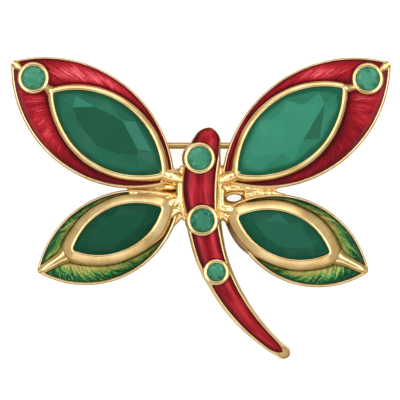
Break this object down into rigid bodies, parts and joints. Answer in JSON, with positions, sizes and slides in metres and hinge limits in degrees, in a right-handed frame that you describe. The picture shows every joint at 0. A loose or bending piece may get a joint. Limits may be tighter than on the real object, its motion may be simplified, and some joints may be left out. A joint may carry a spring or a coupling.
{
  "type": "insect brooch",
  "caption": "Winged insect brooch of gilt metal with red and green enamel, bezel-set green marquise and round stones, a curved tail and a hinged pin with a catch on the back.",
  "frame": {"origin": "middle of the bounding box, on the surface that the brooch lies on with its face up", "axes": "+X to the right across the wings as seen from the face, +Y towards the head, +Z out of the face"},
  "size_m": [0.0456, 0.0366, 0.0069],
  "materials": {
    "gilt_metal": "polished gilt, softly cast",
    "pin_wire": "polished gilt wire",
    "red_enamel": "glossy translucent enamel over an engraved ground",
    "green_enamel": "glossy translucent enamel over an engraved gold ground",
    "green_stone": "polished, faceted, slightly translucent",
    "dark_green_stone": "polished, faceted, slightly translucent",
    "pale_green_stone": "polished, faceted, slightly translucent"
  },
  "bodies": {
    "brooch": {"frame": "gilt_metal", "hinge_lug": "gilt_metal", "catch": "gilt_metal", "hinge_rivet": "pin_wire", "stone_upper_left": "green_stone", "stone_upper_right": "green_stone", "stone_lower_left": "dark_green_stone", "stone_lower_right": "dark_green_stone", "round_stone_left": "pale_green_stone", "round_stone_right": "pale_green_stone", "round_stone_head": "pale_green_stone", "round_stone_thorax": "pale_green_stone", "round_stone_abdomen": "pale_green_stone", "enamel_upper_left_front": "red_enamel", "enamel_upper_left_rear": "red_enamel", "enamel_upper_right_front": "red_enamel", "enamel_upper_right_rear": "red_enamel", "enamel_lower_left_front": "green_enamel", "enamel_lower_left_rear": "green_enamel", "enamel_lower_right_front": "green_enamel", "enamel_lower_right_rear": "green_enamel", "enamel_head": "red_enamel", "enamel_thorax": "red_enamel", "enamel_abdomen": "red_enamel", "enamel_tail": "red_enamel"},
    "pin": {"pin_stem": "pin_wire"}
  },
  "joints": [
    {"name": "pin_hinge", "type": "hinge", "parent": "brooch", "child": "pin", "pos_m": [-0.01675, 0.00768, 0.00115], "axis": [0, 1, 0], "range_deg": [0, 100]}
  ]
}
